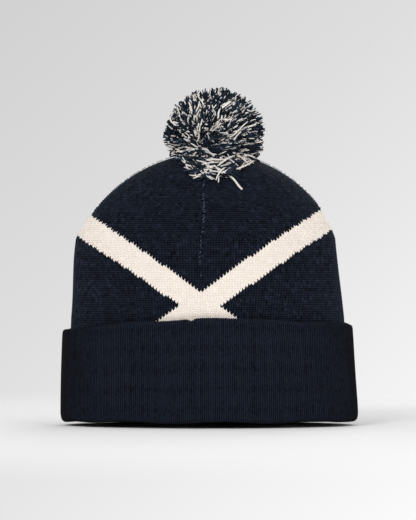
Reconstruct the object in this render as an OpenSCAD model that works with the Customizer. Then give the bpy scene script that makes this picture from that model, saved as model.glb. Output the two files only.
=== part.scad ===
// Knitted beanie with a turned-up rib cuff and a two-colour yarn pompom.
// Millimetres. +Z is up, the front faces -Y, and the origin is at the middle of the head opening,
// level with the lowest point of the rim. The hat is in the open shape that it has on a head.

/* [Body] */
// Full width of the knitted body where the cuff's top edge meets it
body_w = 204.8; // [190:0.4:216]
// Full width of the body at the shoulder, where the crown starts to close
shoulder_w = 192; // [180:0.4:204]
// Height of the shoulder above the rim
shoulder_z = 140; // [130:1:148]
// Radius of the crown's round outline, seen from the front
crown_r = 103.5; // [96:0.5:110]
// Depth of the body, front to back, as a share of its width
depth_share = 0.665; // [0.6:0.005:0.8]
// Fullness of the crown seen from the side, where 2 is an ellipse
crown_power = 2.2; // [2:0.05:2.6]
// Sideways lean of the crown's tip
crown_lean = 3; // [0:0.5:5]
// Thickness of the patterned knit
knit_t = 2.6; // [2:0.1:3.2]

/* [Cuff] */
// Full width over the cuff at its top edge
cuff_w = 217.8; // [214:0.2:222]
// Full width over the cuff at its bottom fold
cuff_foot_w = 221.6; // [218:0.2:226]
// Height of the cuff's top edge at the sides
cuff_z = 73; // [70:0.5:76]
// How much higher the top edge is at the front and back
cuff_bow = 8; // [0:0.5:8]
// How much higher the rim is at the front than at the back
rim_rise = 5; // [0:0.5:8]
// Height where the patterned body is linked to the rib
join_z = 66; // [60:0.5:68]

/* [Cross] */
// Height of the cross's centre
cross_z = 90.2; // [88:0.2:94]
// Rise of an arm for each millimetre of its run
arm_slope = 0.695; // [0.65:0.005:0.75]
// Height of an arm, measured straight up
arm_h = 20.9; // [18:0.1:24]
// Turn of the two centre seams away from the middle, in degrees
seam_turn = -2.6; // [-4:0.1:0]

/* [Pom pom] */
// Diameter of the ball
ball_d = 72; // [66:0.5:76]
// Place of the ball's centre from the tie's pivot
ball_at = [3, -6, 12.2];
// Place of the bound waist from the tie's pivot
waist_at = [-2, -5, 10];
// Furthest the pompom can tip each way from its rest, in degrees
tip_max = 12; // [8:1:14]

/* [Label] */
// Length and height of the care label
label_size = [36, 28];
// Height of the label's lower edge
label_z = 74; // [70:1:90]

/* [Hidden] */

navy = [0.09, 0.11, 0.16];
cream = [0.93, 0.89, 0.85];

crown_z = shoulder_z - sqrt(crown_r^2 - (shoulder_w / 2)^2); // centre of the crown's round outline
crown_top = crown_z + crown_r;
shoulder_angle = asin((shoulder_z - crown_z) / crown_r);
waist_z = 81;      // below this the cuff hides the body, which is nearly straight
foot_flare = 0.03; // widening of the body below the waist, per millimetre
gap = 0.15;        // free space between two neighbouring knitted areas
tip_r = 4.5;       // radius of the hole that the gather thread closes
tip_angle = acos(tip_r / crown_r);
tip_s = shoulder_z + crown_r * (tip_angle - shoulder_angle) * PI / 180;

pivot = [crown_lean, 0, crown_top + 1]; // where the tie leaves the crown
ball_c = pivot + ball_at;
waist_c = pivot + waist_at;
waist_r = 6.5;
neck_r = 1.6;
bend_r = 2;

function mix(a, b, f) = a + (b - a) * f;

// ---- The body's surface: u goes round from the front, s goes up along the outline from the rim ----

function angle_at(s) = shoulder_angle + (s - shoulder_z) / crown_r * 180 / PI;
function half_w(s) =
    s > shoulder_z ? crown_r * cos(angle_at(s)) :
    s > waist_z ? mix(shoulder_w, body_w, (shoulder_z - s) / (shoulder_z - waist_z)) / 2 :
    body_w / 2 + (waist_z - s) * foot_flare;
function height_at(s) = s > shoulder_z ? crown_z + crown_r * sin(angle_at(s)) : s;
function closing(z) = let(h = min(1, max(0, (z - shoulder_z) / (crown_top - shoulder_z))))
    pow(max(0, 1 - pow(h, crown_power)), 1 / crown_power);
function half_d(s) = s > shoulder_z ?
    shoulder_w / 2 * depth_share * closing(height_at(s)) : half_w(s) * depth_share;
function lean_at(s) = crown_lean * pow(max(0, (height_at(s) - shoulder_z) / (crown_top - shoulder_z)), 1);

// A point on the body at depth o under its outer face. A negative depth is outside it.
function on_body(u, s, o) =
    let(a = half_w(s), b = half_d(s), d = s > shoulder_z ? cos(angle_at(s)) : 1,
        rise = s > shoulder_z ? sin(angle_at(s)) : 0)
    [lean_at(s) + (a - o * d) * sin(u),
     -(b - o * (s > shoulder_z ? b / (shoulder_w / 2 * depth_share) : 1)) * cos(u),
     height_at(s) - o * rise];

// ---- Edges of the cross, as the outline length s where an edge crosses the direction u ----

function s_of(z) = z > shoulder_z ?
    shoulder_z + crown_r * (asin(min(0.999, (z - crown_z) / crown_r)) - shoulder_angle) * PI / 180 : z;
function run_at(u, s) = abs(half_w(s) * (sin(u) - sin(seam_turn)));
function arm_edge(u, lift, s = 120, turns = 24) = turns == 0 ? s :
    arm_edge(u, lift, s_of(cross_z + lift + arm_slope * run_at(u, s)), turns - 1);
function leg_edge(u, lift) = max(join_z, cross_z + lift - arm_slope * run_at(u, join_z));
notch_run = arm_h / 2 / arm_slope; // run from the centre to where an arm and a leg part

// ---- Solids made of rows and columns of points ----

function quads(a, b, c, d) = [[a, b, c], [a, c, d]];
function flat_list(lists) = [for (l = lists) for (e = l) e];

// Faces of a sheet with thickness: columns 0 to n, rows 0 to m, outer points first.
// below(i) and above(i) say whether column i has a wall along its lower and upper edge.
function sheet_faces(n, m, start, below, above) =
    let(size = (n + 1) * (m + 1), at = function (side, i, j) start + side * size + i * (m + 1) + j)
    flat_list(concat(
        [for (i = [0:n - 1], j = [0:m - 1])
            quads(at(0, i, j), at(0, i, j + 1), at(0, i + 1, j + 1), at(0, i + 1, j))],
        [for (i = [0:n - 1], j = [0:m - 1])
            quads(at(1, i, j), at(1, i + 1, j), at(1, i + 1, j + 1), at(1, i, j + 1))],
        [for (i = [0:n - 1]) if (below(i))
            quads(at(0, i, 0), at(0, i + 1, 0), at(1, i + 1, 0), at(1, i, 0))],
        [for (i = [0:n - 1]) if (above(i))
            quads(at(0, i + 1, m), at(0, i, m), at(1, i, m), at(1, i + 1, m))],
        [for (j = [0:m - 1]) quads(at(0, 0, j + 1), at(0, 0, j), at(1, 0, j), at(1, 0, j + 1))],
        [for (j = [0:m - 1]) quads(at(0, n, j), at(0, n, j + 1), at(1, n, j + 1), at(1, n, j))]));

function sheet_points(us, low, high, m, outer, inner) =
    [for (o = [outer, inner], i = [0:len(us) - 1], j = [0:m]) on_body(us[i], mix(low[i], high[i], j / m), o)];

// A piece of the body between two edges, from depth outer to depth inner.
module sheet(us, low, high, m, outer = 0, inner = knit_t) {
    n = len(us) - 1;
    polyhedron(sheet_points(us, low, high, m, outer, inner),
        sheet_faces(n, m, 0, function (i) true, function (i) true));
}

// Two sheets, one above the other, that are one piece between columns first and last.
module forked_sheet(us, low, mid_low, mid_high, high, m, first, last) {
    n = len(us) - 1;
    joined = function (i) i >= first && i < last;
    parted = function (i) !joined(i);
    all = function (i) true;
    polyhedron(
        concat(sheet_points(us, low, mid_low, m, 0, knit_t), sheet_points(us, mid_high, high, m, 0, knit_t)),
        concat(sheet_faces(n, m, 0, all, parted), sheet_faces(n, m, 2 * (n + 1) * (m + 1), parted, all)));
}

// A closed ring: sections of equal length go round and meet again.
module ring(sections) {
    n = len(sections);
    k = len(sections[0]);
    at = function (i, j) (i % n) * k + j % k;
    polyhedron(flat_list(sections), flat_list([for (i = [0:n - 1], j = [0:k - 1])
        quads(at(i, j), at(i, j + 1), at(i + 1, j + 1), at(i + 1, j))]));
}

// Evenly spaced directions from one seam to another.
function directions(from, to, n) = [for (i = [0:n]) mix(from + gap / 2, to - gap / 2, i / n)];
front = seam_turn;
back = 180 - seam_turn;
side = 90;

// ---- Body: the navy crown, closed by four seams, and the areas of the pattern ----

module crown_quarter(from, to) {
    us = directions(from, to, 18);
    color(navy) sheet(us, [for (u = us) arm_edge(u, arm_h / 2) + gap], [for (u = us) tip_s], 12);
}
module crown_front_left() { crown_quarter(-side, front); }
module crown_front_right() { crown_quarter(front, side); }
module crown_back_left() { crown_quarter(back, 360 - side); }
module crown_back_right() { crown_quarter(side, back); }

// The cream cross between two sides, with its centre in the direction middle.
module cross(from, middle, to) {
    notch_turn = asin(notch_run / half_w(cross_z) + abs(sin(seam_turn))) - abs(seam_turn);
    arm_steps = 18;
    centre_steps = 8;
    us = concat(
        [for (i = [0:arm_steps - 1]) mix(from + gap / 2, middle - notch_turn, i / arm_steps)],
        [for (i = [0:centre_steps]) mix(middle - notch_turn, middle + notch_turn, i / centre_steps)],
        [for (i = [1:arm_steps]) mix(middle + notch_turn, to - gap / 2, i / arm_steps)]);
    first = arm_steps;
    last = arm_steps + centre_steps;
    centre = function (i) i >= first && i <= last;
    // Past the point where a leg has run down to the rib, a hair of it stays, so that each column has one.
    foot = function (i) leg_edge(us[i], -arm_h / 2) + gap;
    color(cream) forked_sheet(us,
        [for (i = [0:len(us) - 1]) foot(i)],
        [for (i = [0:len(us) - 1]) centre(i) ? cross_z : max(foot(i) + 0.6, leg_edge(us[i], arm_h / 2) - gap)],
        [for (i = [0:len(us) - 1]) centre(i) ? cross_z : arm_edge(us[i], -arm_h / 2) + gap],
        [for (i = [0:len(us) - 1]) arm_edge(us[i], arm_h / 2) - gap],
        3, first, last);
}
module cross_front() { cross(-side, front, side); }
module cross_back() { cross(side, back, 360 - side); }

// The navy area beside the cross, from its front notch round the side to its back notch.
module side_field(from, to) {
    notch_turn = asin(notch_run / half_w(cross_z) + abs(sin(seam_turn))) - abs(seam_turn) + 0.6;
    steps = 44;
    us = directions(from + notch_turn, to - notch_turn, steps);
    low = [for (u = us) leg_edge(u, arm_h / 2) + 0.6 + 3 * gap];
    high = [for (u = us) arm_edge(u, -arm_h / 2) - gap];
    color(navy) sheet(us, low, [for (i = [0:steps]) max(low[i] + 0.2, high[i])], 6);
}
module side_field_right() { side_field(front, back); }
module side_field_left() { side_field(back, 360 + front); }

// The small navy area between the cross's legs, hidden by the cuff.
module lower_field(middle) {
    reach = asin((cross_z - arm_h / 2 - join_z) / arm_slope / half_w(join_z)) - 1;
    us = directions(middle - reach, middle + reach, 8);
    color(navy) sheet(us, [for (u = us) join_z + gap],
        [for (u = us) max(join_z + 0.5, leg_edge(u, -arm_h / 2) - gap)], 2);
}
module lower_field_front() { lower_field(front); }
module lower_field_back() { lower_field(back); }

// ---- Cuff: one band of rib that runs down inside, folds at the rim and turns up outside ----

function facing(u) = max(0, cos(u));
function rim_at(u) = rim_rise * (1 + cos(u)) / 2;
function cuff_top(u) = cuff_z + cuff_bow * cos(u)^2;
// Thickness of the turned-up part at share f of its height
function cuff_t(f) = mix(cuff_foot_w / 2 - half_w(0), cuff_w / 2 - half_w(cuff_z), f) - slit;
slit = 0.4;

function cuff_section(u) =
    let(z0 = rim_at(u), z1 = cuff_top(u), t0 = cuff_t(0), t1 = cuff_t(1), tm = cuff_t(0.5), zm = mix(z0, z1, 0.5))
    [[knit_t, join_z - gap], [knit_t, z0 + 4], [knit_t - 1, z0 + 1.3], [-0.4, z0], [-t0 * 0.55, z0],
     [-t0 * 0.9, z0 + 1.4], [-slit - t0, z0 + 5], [-slit - tm, zm], [-slit - t1, z1 - 3.2],
     [-slit - t1 * 0.8, z1 - 0.8], [-slit - t1 * 0.5, z1], [-slit - t1 * 0.2, z1 - 0.7], [-slit, z1 - 2.4],
     [-slit, z0 + 7], [0, z0 + 7.5], [0, join_z - gap]];

module rib_cuff() {
    steps = 60;
    color(navy) ring([for (i = [0:steps - 1]) let(u = i * 360 / steps)
        [for (p = cuff_section(u)) on_body(u, p[1], p[0])]]);
}

// Ridge where the ends of the rib band are sewn together, on the cuff's outer face
module cuff_seam() {
    u = seam_turn * 2.4;
    half = 0.7;
    z0 = rim_at(u) + 8;
    z1 = cuff_top(u) - 5;
    rows = 6;
    color(navy) polyhedron(
        [for (d = [1, 0.15], w = [-half, half], j = [0:rows]) let(z = mix(z0, z1, j / rows))
            on_body(u + w, z, -slit - mix(cuff_t(0), cuff_t(1), (z - rim_at(u)) / (cuff_top(u) - rim_at(u))) - d)],
        sheet_faces(1, rows, 0, function (i) true, function (i) true));
}

// Linking stitches between the body and the rib, on the inside
module join_seam() {
    steps = 48;
    color(navy) ring([for (i = [0:steps - 1]) let(u = i * 360 / steps)
        [for (p = [[1.6, 0], [0.9, -1], [0.2, 0], [0.9, 1]]) on_body(u, join_z + p[1], knit_t + p[0])]]);
}

// ---- Seams of the crown: the joined edges stand up inside ----

module seam(u, from_s) {
    half = 1.4;
    top = tip_s - 8;
    rows = 24;
    us = [u - half, u + half];
    color(navy) sheet(us, [from_s, from_s], [top, top], rows, knit_t + 0.4, knit_t + 2);
}
module front_seam() { seam(front, join_z + 3); }
module back_seam() { seam(back, shoulder_z - 20); }
module left_dart_seam() { seam(-side, arm_edge(-side, -arm_h / 2) + 3); }
module right_dart_seam() { seam(side, arm_edge(side, -arm_h / 2) + 3); }

// ---- Crown tip: gather thread, button inside and the tie ----

module gather_thread() {
    color(navy) translate([pivot[0], 0, crown_top - 1.6])
        rotate_extrude($fn = 48) translate([3.3, 0]) circle(r = 0.7, $fn = 16);
}

module anchor_button() {
    color(navy) translate([pivot[0], 0, crown_top - knit_t - 3.2]) difference() {
        cylinder(r = 9, h = 2, $fn = 64);
        translate([0, 0, -1]) cylinder(r = neck_r + 0.5, h = 4, $fn = 32);
    }
}

knot_z = crown_top - knit_t - 7.6;
knot_r = 3.6;
module tie_knot() { color(cream) translate([pivot[0], 0, knot_z]) sphere(r = knot_r, $fn = 48); }

module tie_neck() {
    color(cream) translate([pivot[0], 0, knot_z + knot_r])
        cylinder(r = neck_r, h = pivot[2] - bend_r - 0.3 - knot_z - knot_r, $fn = 32);
}

// The short length of tie that bends where it leaves the crown
module tie_bend() { color(cream) translate(pivot) sphere(r = bend_r, $fn = 32); }

// ---- Pompom: cut yarn bound at its middle, on the tie ----

reach = norm(waist_at);
tilt = acos(waist_at[2] / reach);
heading = atan2(waist_at[1], waist_at[0]);

module along_tie() { translate(pivot) rotate([0, 0, heading]) rotate([0, tilt, 0]) children(); }

module tie_strand() {
    color(cream) along_tie() translate([0, 0, bend_r + 0.2])
        cylinder(r = 1.3, h = reach - waist_r - bend_r - 0.25, $fn = 24);
}

module binding_ring(r) {
    translate(waist_c) rotate_extrude($fn = 48) translate([waist_r + 0.2, 0]) circle(r = r, $fn = 16);
}
module pompom_binding() { color(cream) binding_ring(0.9); }
module pompom_waist() {
    color(navy) difference() {
        translate(waist_c) sphere(r = waist_r, $fn = 48);
        binding_ring(0.92);
    }
}

pairs = 4;
navy_share = 0.6;
skirt_t = 1.2;  // thickness of the flattened strands on the crown
skirt_gap = 0.3;

// The space that the crown takes up, seen from the ball, as the ball tips every way about the pivot
module crown_sweep() {
    tip = acos(cos(tip_max)^2);
    r_pivot = crown_r + 1;
    r_skirt = crown_r + skirt_gap + skirt_t + 0.5;
    steps = 10;
    wide = r_pivot * sin(tip);
    translate(pivot) rotate_extrude($fn = 96) polygon(concat(
        [[0, -60], [60, -60], [60, r_skirt - r_pivot * cos(tip)]],
        [for (i = [steps:-1:0]) let(r = wide * i / steps)
            [r, sqrt(r_skirt^2 - (wide - r)^2) - r_pivot * cos(tip)]]));
}

module ball() {
    difference() {
        translate(ball_c) sphere(r = ball_d / 2, $fn = 96);
        crown_sweep();
        translate(waist_c) sphere(r = waist_r + 1.4, $fn = 48);
        along_tie() cylinder(r = 1.6, h = reach, $fn = 24);
        translate(pivot) sphere(r = bend_r + 0.5, $fn = 32);
    }
}

module slice(from, to) {
    far = 60;
    near = 1;
    steps = 3;
    translate([waist_c[0], waist_c[1], 0]) linear_extrude(crown_top + ball_d + 20)
        polygon([for (r = [near, far], i = [0:steps])
            let(a = r == near ? mix(from, to, i / steps) : mix(to, from, i / steps)) r * [cos(a), sin(a)]]);
}

module bundles(start, share) {
    edge = 0.4;
    for (i = [0:pairs - 1]) {
        from = (i + start) * 360 / pairs;
        intersection() {
            ball();
            slice(from + edge, from + share * 360 / pairs - edge);
        }
    }
}
module pompom_navy_yarn() { color(navy) bundles(0, navy_share); }
module pompom_cream_yarn() { color(cream) bundles(navy_share, 1 - navy_share); }

// The lowest strands, pressed flat and spread over the crown
module pompom_skirt_yarn() {
    steps = 36;
    rows = 3;
    inner_s = shoulder_z + crown_r * (acos(14 / crown_r) - shoulder_angle) * PI / 180;
    outer_s = shoulder_z + crown_r * (acos(32 / crown_r) - shoulder_angle) * PI / 180;
    droop = 14;
    color(navy) ring([for (i = [0:steps - 1])
        let(u = i * 360 / steps, low = outer_s - droop * pow(facing(u), 2))
        concat([for (j = [0:rows]) on_body(u, mix(low, inner_s, j / rows), -skirt_gap)],
               [for (j = [rows:-1:0]) on_body(u, mix(low, inner_s, j / rows), -skirt_gap - skirt_t)])]);
}

// Loose end of the tie, lying on the front of the crown
module tie_tail() {
    thick = 1.6;
    steps = 5;
    sides = 6;
    route = [for (i = [0:steps]) let(f = i / steps) on_body(mix(19, 22, f), s_of(mix(190, 177, f)), -1.2)];
    color(cream) polyhedron(
        [for (p = route, k = [0:sides - 1])
            p + thick / 2 * [cos(k * 360 / sides), -0.85 * sin(k * 360 / sides), 0.55 * sin(k * 360 / sides)]],
        concat([[for (k = [0:sides - 1]) k]],
            [[for (k = [sides - 1:-1:0]) steps * sides + k]],
            flat_list([for (i = [0:steps - 1], k = [0:sides - 1])
                quads(i * sides + k, (i + 1) * sides + k, (i + 1) * sides + (k + 1) % sides,
                    i * sides + (k + 1) % sides)])));
}

// ---- Care label, sewn into the front seam inside ----

label_rest = 6; // degrees that the label stands off the wall at rest
wall = on_body(front, label_z + label_size[1], knit_t + 2.9);
hinge = [wall[0], wall[1], label_z];

module label_stitching() {
    color(cream) translate(hinge - [0, 0, 1]) cylinder(r = 0.5, h = label_size[1] + 2, $fn = 24);
}

module care_label() {
    color(cream) translate(hinge) rotate([0, 0, label_rest]) translate([0.9, -0.35, 0])
        cube([label_size[0], 0.7, label_size[1]]);
}

crown_front_left();
crown_front_right();
crown_back_left();
crown_back_right();
cross_front();
cross_back();
side_field_left();
side_field_right();
lower_field_front();
lower_field_back();
rib_cuff();
join_seam();
front_seam();
back_seam();
left_dart_seam();
right_dart_seam();
cuff_seam();
gather_thread();
anchor_button();
label_stitching();
pompom_skirt_yarn();
tie_tail();
tie_knot();
tie_neck();
tie_bend();
tie_strand();
pompom_waist();
pompom_binding();
pompom_navy_yarn();
pompom_cream_yarn();
care_label();
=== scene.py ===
import math

import bpy
import numpy as np
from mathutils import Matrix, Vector


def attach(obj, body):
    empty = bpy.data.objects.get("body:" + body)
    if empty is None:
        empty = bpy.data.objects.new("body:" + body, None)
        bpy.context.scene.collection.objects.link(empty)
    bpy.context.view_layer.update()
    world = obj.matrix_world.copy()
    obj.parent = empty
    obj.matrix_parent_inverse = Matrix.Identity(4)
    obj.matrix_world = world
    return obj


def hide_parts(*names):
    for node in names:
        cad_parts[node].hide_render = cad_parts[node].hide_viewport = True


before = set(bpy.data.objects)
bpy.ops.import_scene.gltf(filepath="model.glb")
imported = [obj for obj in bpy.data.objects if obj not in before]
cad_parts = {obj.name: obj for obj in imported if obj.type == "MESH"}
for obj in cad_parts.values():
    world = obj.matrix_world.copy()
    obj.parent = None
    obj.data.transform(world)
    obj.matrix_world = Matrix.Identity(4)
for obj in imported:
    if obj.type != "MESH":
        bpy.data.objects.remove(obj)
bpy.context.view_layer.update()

MM = 0.001

# ---------------------------------------------------------------- the hat's outline, as in the CAD

BODY_W = 204.8
SHOULDER_W = 192.0
SHOULDER_Z = 140.0
CROWN_R = 103.5
DEPTH_SHARE = 0.665
CROWN_POWER = 2.2
CROWN_LEAN = 3.0
KNIT_T = 2.6
WAIST_Z = 81.0
FOOT_FLARE = 0.03
JOIN_Z = 66.0
TIP_R = 4.5

CUFF_W = 217.8
CUFF_FOOT_W = 221.6
CUFF_Z = 73.0
CUFF_BOW = 8.6
RIM_RISE = 6.6
RIM_SAG = 2.0         # how far the middle of the front hangs below that rise
RIM_WAVE = 0.7        # height of the rim's waves, which fade towards the back
RIM_WAVES = 9         # waves in the whole round
RIM_WAVE_TURN = 0.24  # from the middle of the front to a wave's lowest place, in radians
SLIT = 0.4

CROSS_Z = 90.2
ARM_SLOPE = 0.695
ARM_H = 20.9
SEAM_TURN = math.radians(-2.6)

CROWN_Z = SHOULDER_Z - math.sqrt(CROWN_R**2 - (SHOULDER_W / 2) ** 2)
CROWN_TOP = CROWN_Z + CROWN_R
SHOULDER_ANGLE = math.asin((SHOULDER_Z - CROWN_Z) / CROWN_R)
TIP_ANGLE = math.acos(TIP_R / CROWN_R)

PIVOT = np.array([CROWN_LEAN, 0.0, CROWN_TOP + 1])
BALL_C = PIVOT + [3, -6, 12.2]
WAIST_C = PIVOT + [-2, -5, 10]
BALL_R = 36.0


def mix(a, b, f):
    return a + (b - a) * f


def angle_at(s):
    """Angle over the horizontal on the crown's circle, at outline length s."""
    return SHOULDER_ANGLE + (s - SHOULDER_Z) / CROWN_R


def half_w(s):
    """Half the body's width at outline length s, which is the height below the shoulder."""
    low = np.where(
        s > WAIST_Z,
        mix(SHOULDER_W, BODY_W, (SHOULDER_Z - s) / (SHOULDER_Z - WAIST_Z)) / 2,
        BODY_W / 2 + (WAIST_Z - s) * FOOT_FLARE,
    )
    return np.where(s > SHOULDER_Z, CROWN_R * np.cos(angle_at(s)), low)


def height_at(s):
    """Height over the floor at outline length s."""
    return np.where(s > SHOULDER_Z, CROWN_Z + CROWN_R * np.sin(angle_at(s)), s)


def closing(z):
    """Share of the shoulder's depth that is left at height z of the crown."""
    h = np.clip((z - SHOULDER_Z) / (CROWN_TOP - SHOULDER_Z), 0, 1)
    return np.maximum(0, 1 - h**CROWN_POWER) ** (1 / CROWN_POWER)


def half_d(s):
    """Half the body's depth, from front to back, at outline length s."""
    crown = SHOULDER_W / 2 * DEPTH_SHARE * closing(height_at(s))
    return np.where(s > SHOULDER_Z, crown, half_w(s) * DEPTH_SHARE)


def on_body(u, s, o):
    """Points on the body in the direction u (from the front), at outline length s and depth o."""
    crown = s > SHOULDER_Z
    d = np.where(crown, np.cos(angle_at(s)), 1)
    rise = np.where(crown, np.sin(angle_at(s)), 0)
    b = half_d(s)
    inward = np.where(crown, b / (SHOULDER_W / 2 * DEPTH_SHARE), 1)
    z = height_at(s)
    lean = CROWN_LEAN * np.maximum(0, (z - SHOULDER_Z) / (CROWN_TOP - SHOULDER_Z))
    x = lean + (half_w(s) - o * d) * np.sin(u)
    y = -(b - o * inward) * np.cos(u)
    return np.stack(np.broadcast_arrays(x, y, z - o * rise), axis=-1)


def soften(p):
    """The knit's slow unevenness, the same for every piece at the same place."""
    x, y, z = p[..., 0], p[..., 1], p[..., 2]
    u = np.arctan2(x, -y * 1.5)
    out = 0.55 * np.sin(3 * u + z / 31) + 0.4 * np.sin(5 * u - z / 23 + 1.3) + 0.25 * np.sin(9 * u + z / 13)
    out = out * np.clip((CROWN_TOP - z) / 30, 0, 1)
    r = np.maximum(np.hypot(x, y), 1e-6)
    left = np.clip(-x / 90, 0, 1) ** 3
    bulge = 2.4 * left * np.exp(-(((z - 136) / 30) ** 2))
    low = np.clip(1 - z / 70, 0, 1)
    bulge -= 3.3 * low * np.clip(x / 100, 0, 1) ** 3 + 0.8 * low * left
    q = p.copy()
    q[..., 0] += out * x / r - bulge
    q[..., 1] += out * y / r
    return q


# Angle u for an equal share t of the way round the body's ellipse, with u = 0 at the front.
fine = np.linspace(0, 2 * math.pi, 7201)
step_len = np.hypot(np.cos(fine), DEPTH_SHARE * np.sin(fine))
arc = np.concatenate([[0], np.cumsum((step_len[1:] + step_len[:-1]) / 2)])
arc /= arc[-1]


def turn_of(t):
    """The direction on the body at share t of its girth, with the seams turned to their places."""
    u = np.interp(np.mod(t, 1), arc, fine)
    return u + SEAM_TURN * np.cos(u)


# ---------------------------------------------------------------- meshes

def build(name, verts, quads, tris=None, uv=None, tone=None):
    """A mesh object from points in millimetres. uv and tone are one row for each point."""
    faces = [np.asarray(quads, dtype=np.int64).reshape(-1, 4)]
    tris = np.zeros((0, 3)) if tris is None else tris
    tris = np.asarray(tris, dtype=np.int64).reshape(-1, 3)
    used = np.unique(np.concatenate([faces[0].ravel(), tris.ravel()]))
    new = np.zeros(len(verts), dtype=np.int64)
    new[used] = np.arange(len(used))
    q, t = new[faces[0]], new[tris]
    mesh = bpy.data.meshes.new(name)
    mesh.vertices.add(len(used))
    mesh.vertices.foreach_set("co", (verts[used] * MM).astype(np.float32).ravel())
    loops = np.concatenate([q.ravel(), t.ravel()]).astype(np.int32)
    mesh.loops.add(len(loops))
    mesh.loops.foreach_set("vertex_index", loops)
    sizes = np.concatenate([np.full(len(q), 4), np.full(len(t), 3)])
    starts = np.concatenate([[0], np.cumsum(sizes)[:-1]]).astype(np.int32)
    mesh.polygons.add(len(sizes))
    mesh.polygons.foreach_set("loop_start", starts)
    mesh.polygons.foreach_set("use_smooth", np.ones(len(sizes), dtype=bool))
    mesh.update(calc_edges=True)
    if uv is not None:
        layer = mesh.uv_layers.new(name="knit")
        layer.data.foreach_set("uv", uv[used][loops].astype(np.float32).ravel())
    if tone is not None:
        layer = mesh.attributes.new("tone", "FLOAT", "POINT")
        layer.data.foreach_set("value", tone[used].astype(np.float32))
    mesh.validate()
    o = bpy.data.objects.new(name, mesh)
    bpy.context.scene.collection.objects.link(o)
    return o


def place(o, body, slot, *nodes, material=None):
    """o rides on body and stands for the CAD nodes. slot is not used."""
    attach(o, body)
    if nodes:
        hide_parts(*nodes)
    if material is not None:
        o.data.materials.clear()
        o.data.materials.append(material)
    return o


# ---------------------------------------------------------------- materials

def links(material):
    """An empty node tree, with its functions for new nodes and links."""
    material.use_nodes = True
    tree = material.node_tree
    tree.nodes.clear()
    return tree, tree.nodes.new, tree.links.new


def ramp(tree, source, stops):
    """A colour ramp with the given (position, colour) stops."""
    node = tree.nodes.new("ShaderNodeValToRGB")
    node.color_ramp.elements[0].position = stops[0][0]
    node.color_ramp.elements[0].color = (*stops[0][1], 1)
    node.color_ramp.elements[1].position = stops[-1][0]
    node.color_ramp.elements[1].color = (*stops[-1][1], 1)
    for at, color in stops[1:-1]:
        node.color_ramp.elements.new(at).color = (*color, 1)
    tree.links.new(source, node.inputs["Fac"])
    return node.outputs["Color"]


FIBRE_SHARE, PATCH_SHARE = 0.9, 0.15  # how much the fibres and the worn patches change the tone


def yarn_material(name, dark, light, sheen, bump, fibre, gloss=0.08, twist=0.0):
    """Knitting yarn: base colour from dark to light by stitch, by the painted shade and highlight in the tone
    attribute, and by fibre, with fibre relief.
    """
    material = bpy.data.materials.new(name)
    tree, new, link = links(material)
    out = new("ShaderNodeOutputMaterial")
    shader = new("ShaderNodeBsdfPrincipled")
    shader.inputs["Roughness"].default_value = 0.9
    shader.inputs["Specular IOR Level"].default_value = gloss
    shader.inputs["Sheen Weight"].default_value = sheen
    shader.inputs["Sheen Roughness"].default_value = 0.5
    link(shader.outputs["BSDF"], out.inputs["Surface"])
    place_node = new("ShaderNodeTexCoord")
    tone = new("ShaderNodeAttribute")
    tone.attribute_name = "tone"
    fibres = new("ShaderNodeTexNoise")
    fibres.inputs["Scale"].default_value = fibre
    fibres.inputs["Detail"].default_value = 5
    fibres.inputs["Roughness"].default_value = 0.7
    link(place_node.outputs["Object"], fibres.inputs["Vector"])
    patches = new("ShaderNodeTexNoise")
    patches.inputs["Scale"].default_value = 38
    patches.inputs["Detail"].default_value = 3
    link(place_node.outputs["Object"], patches.inputs["Vector"])
    with_fibres = new("ShaderNodeMath")
    with_fibres.operation = "MULTIPLY_ADD"
    link(fibres.outputs["Fac"], with_fibres.inputs[0])
    with_fibres.inputs[1].default_value = FIBRE_SHARE
    link(tone.outputs["Fac"], with_fibres.inputs[2])
    with_patches = new("ShaderNodeMath")
    with_patches.operation = "MULTIPLY_ADD"
    link(patches.outputs["Fac"], with_patches.inputs[0])
    with_patches.inputs[1].default_value = PATCH_SHARE
    link(with_fibres.outputs[0], with_patches.inputs[2])
    middle = tuple(mix(d, l, 0.3) for d, l in zip(dark, light))
    color = ramp(tree, with_patches.outputs[0], [(0.2, dark), (0.62, middle), (1.0, light)])
    link(color, shader.inputs["Base Color"])
    relief = new("ShaderNodeBump")
    relief.inputs["Strength"].default_value = bump
    relief.inputs["Distance"].default_value = 0.0004
    height = fibres.outputs["Fac"]
    if twist:
        wave = new("ShaderNodeTexWave")
        wave.wave_type = "BANDS"
        wave.bands_direction = "DIAGONAL"
        wave.inputs["Scale"].default_value = twist
        wave.inputs["Distortion"].default_value = 0.6
        link(place_node.outputs["UV"], wave.inputs["Vector"])
        both = new("ShaderNodeMath")
        both.operation = "ADD"
        link(wave.outputs["Fac"], both.inputs[0])
        link(fibres.outputs["Fac"], both.inputs[1])
        height = both.outputs[0]
    link(height, relief.inputs["Height"])
    link(relief.outputs["Normal"], shader.inputs["Normal"])
    return material


# Colours from dark to light: on the knit and the rib, from painted shade at the bottom of a stitch to painted
# highlight at its top, besides the random tone of stitches and strands
NAVY = (0.0001, 0.0002, 0.0006), (0.0145, 0.0212, 0.0385)
CREAM = (0.74, 0.665, 0.595), (0.87, 0.8, 0.73)
RIB = (0.0003, 0.0006, 0.0016), (0.0105, 0.0152, 0.0275)
NAVY_STRAND = (0.0015, 0.003, 0.006), (0.034, 0.066, 0.12)
CREAM_STRAND = (0.84, 0.78, 0.72), (0.98, 0.96, 0.92)
THREAD = (0.006, 0.009, 0.017), (0.075, 0.1, 0.15)
navy_knit = yarn_material("navy_knit", *NAVY, 0.02, 0.5, 2600)
cream_knit = yarn_material("cream_knit", *CREAM, 0.1, 0.5, 2600)
navy_rib = yarn_material("navy_rib", *RIB, 0.02, 0.5, 2600)
navy_yarn = yarn_material("navy_yarn", *NAVY_STRAND, 0.04, 0.7, 2200, twist=3.0)
cream_yarn = yarn_material("cream_yarn", *CREAM_STRAND, 0.1, 0.7, 2200, twist=3.0)
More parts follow.
